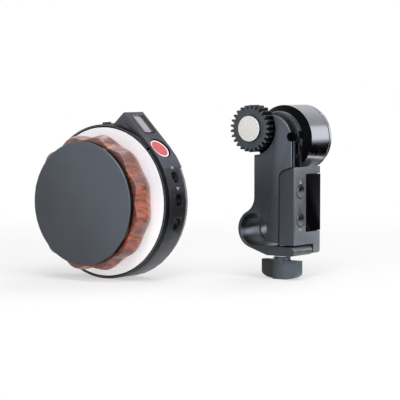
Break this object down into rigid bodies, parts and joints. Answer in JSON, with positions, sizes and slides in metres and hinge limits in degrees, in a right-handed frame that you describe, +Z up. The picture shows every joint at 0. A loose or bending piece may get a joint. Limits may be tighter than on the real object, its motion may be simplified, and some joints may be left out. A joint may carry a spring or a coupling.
{
  "type": "wireless lens follow focus",
  "caption": "Wireless follow focus set: a hand wheel controller with a lobed wooden grip and keys, and a geared lens motor on a hinged rod clamp.",
  "frame": {"origin": "under the middle of the pair's bounding box, on the surface that it stands on", "axes": "+X from the hand wheel towards the motor unit, +Y from the knob's front to the back, +Z up"},
  "size_m": [0.1194, 0.0892, 0.0828],
  "materials": {
    "wheel_housing": "satin black anodised aluminium",
    "front_ring": "satin black anodised aluminium",
    "back_cover": "satin silver",
    "back_cover_screw_1": "steel cap screw",
    "back_cover_screw_2": "steel cap screw",
    "back_cover_screw_3": "steel cap screw",
    "back_cover_screw_4": "steel cap screw",
    "mounting_insert": "threaded insert",
    "display_window": "smoked display window",
    "display_board": "circuit board with display",
    "record_button": "red key",
    "record_button_rim": "white rim",
    "up_button": "black key",
    "down_button": "black key",
    "set_button": "black key",
    "key_circuit": "flexible circuit strip",
    "main_board": "circuit board",
    "encoder_chip": "sensor chip",
    "wheel_battery": "wrapped lithium cell",
    "port_flap": "soft black flap",
    "charging_socket": "socket shell",
    "knob_cap": "matte charcoal",
    "wooden_grip": "polished red-brown hardwood",
    "marking_disc": "white disc to write on",
    "wheel_spindle": "turned hub and spindle",
    "grip_screw": "steel cap screw",
    "encoder_magnet": "nickel-plated magnet",
    "spindle_bearing": "ball bearing",
    "spindle_clip": "spring steel clip",
    "motor_body": "satin gunmetal anodised aluminium",
    "side_cover": "satin gunmetal anodised aluminium",
    "status_window": "black tinted window",
    "motor_plus_button": "turned metal key",
    "motor_minus_button": "turned metal key",
    "motor_board": "circuit board",
    "power_socket": "socket insulator",
    "drum_case": "gloss anodised turned aluminium",
    "drum_cap": "gloss anodised turned aluminium",
    "drum_cap_screw_1": "steel cap screw",
    "drum_cap_screw_2": "steel cap screw",
    "drum_cap_screw_3": "steel cap screw",
    "stator": "wound copper and iron",
    "rotor": "magnet rotor",
    "rotor_bearing": "bearing",
    "gearhead": "sealed gearhead",
    "transfer_gear": "bronze gear",
    "output_shaft": "steel shaft with pinion",
    "output_bush": "bronze bush",
    "pinion_bush": "bronze bush",
    "lens_gear": "moulded black gear",
    "gear_disc": "satin silver disc",
    "gear_screw": "steel cap screw",
    "clamp_jaw": "satin gunmetal anodised aluminium",
    "jaw_pin": "steel pin",
    "clamp_washer": "steel washer",
    "clamp_screw": "steel screw",
    "winged_knob": "satin gunmetal"
  },
  "bodies": {
    "fixed_frame": {"wheel_housing": "wheel_housing", "front_ring": "front_ring", "back_cover": "back_cover", "back_cover_screw_1": "back_cover_screw_1", "back_cover_screw_2": "back_cover_screw_2", "back_cover_screw_3": "back_cover_screw_3", "back_cover_screw_4": "back_cover_screw_4", "mounting_insert": "mounting_insert", "display_window": "display_window", "display_board": "display_board", "key_circuit": "key_circuit", "main_board": "main_board", "encoder_chip": "encoder_chip", "wheel_battery": "wheel_battery", "charging_socket": "charging_socket", "spindle_bearing": "spindle_bearing", "motor_body": "motor_body", "side_cover": "side_cover", "status_window": "status_window", "motor_board": "motor_board", "power_socket": "power_socket", "drum_case": "drum_case", "drum_cap": "drum_cap", "drum_cap_screw_1": "drum_cap_screw_1", "drum_cap_screw_2": "drum_cap_screw_2", "drum_cap_screw_3": "drum_cap_screw_3", "stator": "stator", "rotor_bearing": "rotor_bearing", "gearhead": "gearhead", "output_bush": "output_bush", "pinion_bush": "pinion_bush", "jaw_pin": "jaw_pin"},
    "hand_wheel": {"knob_cap": "knob_cap", "wooden_grip": "wooden_grip", "marking_disc": "marking_disc", "wheel_spindle": "wheel_spindle", "grip_screw": "grip_screw", "encoder_magnet": "encoder_magnet", "spindle_clip": "spindle_clip"},
    "record_key": {"record_button": "record_button", "record_button_rim": "record_button_rim"},
    "up_key": {"up_button": "up_button"},
    "down_key": {"down_button": "down_button"},
    "set_key": {"set_button": "set_button"},
    "charging_flap": {"port_flap": "port_flap"},
    "motor_plus_key": {"motor_plus_button": "motor_plus_button"},
    "motor_minus_key": {"motor_minus_button": "motor_minus_button"},
    "drive_gear": {"lens_gear": "lens_gear", "gear_disc": "gear_disc", "gear_screw": "gear_screw", "output_shaft": "output_shaft"},
    "transfer": {"transfer_gear": "transfer_gear"},
    "motor_rotor": {"rotor": "rotor"},
    "rod_jaw": {"clamp_jaw": "clamp_jaw"},
    "thrust_washer": {"clamp_washer": "clamp_washer"},
    "thumb_screw": {"clamp_screw": "clamp_screw", "winged_knob": "winged_knob"}
  },
  "joints": [
    {"name": "hand_wheel_turn", "type": "hinge", "parent": "fixed_frame", "child": "hand_wheel", "pos_m": [-0.0229, -0.02715, 0.0368], "axis": [0, 1, 0], "continuous": true},
    {"name": "record_press", "type": "slide", "parent": "fixed_frame", "child": "record_key", "axis": [-0.7096, 0, -0.7046], "range_m": [0, 0.0005], "stiffness_N_per_m": 600},
    {"name": "up_press", "type": "slide", "parent": "fixed_frame", "child": "up_key", "axis": [-0.9415, 0, -0.3371], "range_m": [0, 0.0005], "stiffness_N_per_m": 600},
    {"name": "down_press", "type": "slide", "parent": "fixed_frame", "child": "down_key", "axis": [-0.9991, 0, -0.0419], "range_m": [0, 0.0005], "stiffness_N_per_m": 600},
    {"name": "set_press", "type": "slide", "parent": "fixed_frame", "child": "set_key", "axis": [-0.9632, 0, 0.2689], "range_m": [0, 0.0005], "stiffness_N_per_m": 600},
    {"name": "port_flap_swing", "type": "hinge", "parent": "fixed_frame", "child": "charging_flap", "pos_m": [-0.02545, -0.01415, 0.07321], "axis": [-0.9976, 0, -0.0698], "range_deg": [0, 100]},
    {"name": "motor_plus_press", "type": "slide", "parent": "fixed_frame", "child": "motor_plus_key", "axis": [-1, 0, 0], "range_m": [0, 0.0005], "stiffness_N_per_m": 600},
    {"name": "motor_minus_press", "type": "slide", "parent": "fixed_frame", "child": "motor_minus_key", "axis": [-1, 0, 0], "range_m": [0, 0.0005], "stiffness_N_per_m": 600},
    {"name": "drive_turn", "type": "hinge", "parent": "fixed_frame", "child": "drive_gear", "pos_m": [0.03395, 0.01525, 0.07158], "axis": [0, 1, 0], "continuous": true},
    {"name": "transfer_turn", "type": "hinge", "parent": "fixed_frame", "child": "transfer", "pos_m": [0.0439, 0.01525, 0.0669], "axis": [0, 1, 0], "continuous": true},
    {"name": "rotor_turn", "type": "hinge", "parent": "fixed_frame", "child": "motor_rotor", "pos_m": [0.0439, 0.01525, 0.0669], "axis": [0, 1, 0], "continuous": true},
    {"name": "screw_advance", "type": "slide", "parent": "fixed_frame", "child": "thrust_washer", "axis": [0, 0, -1], "range_m": [0, 0.0021]},
    {"name": "screw_turn", "type": "hinge", "parent": "thrust_washer", "child": "thumb_screw", "pos_m": [0.0454, 0.02275, 0.01], "axis": [0, 0, -1], "range_deg": [0, 1080]},
    {"name": "jaw_swing", "type": "hinge", "parent": "fixed_frame", "child": "rod_jaw", "pos_m": [0.0549, 0.01525, 0.01365], "axis": [0, -1, 0], "range_deg": [0, 9]}
  ],
  "couplings": [
    {"joint": "transfer_turn", "follows": "drive_turn", "ratio": -0.375},
    {"joint": "rotor_turn", "follows": "drive_turn", "ratio": -1.875},
    {"joint": "screw_advance", "follows": "screw_turn", "m_per_rad": 0.00011141},
    {"joint": "jaw_swing", "follows": "screw_turn", "ratio": 0.0083333}
  ]
}
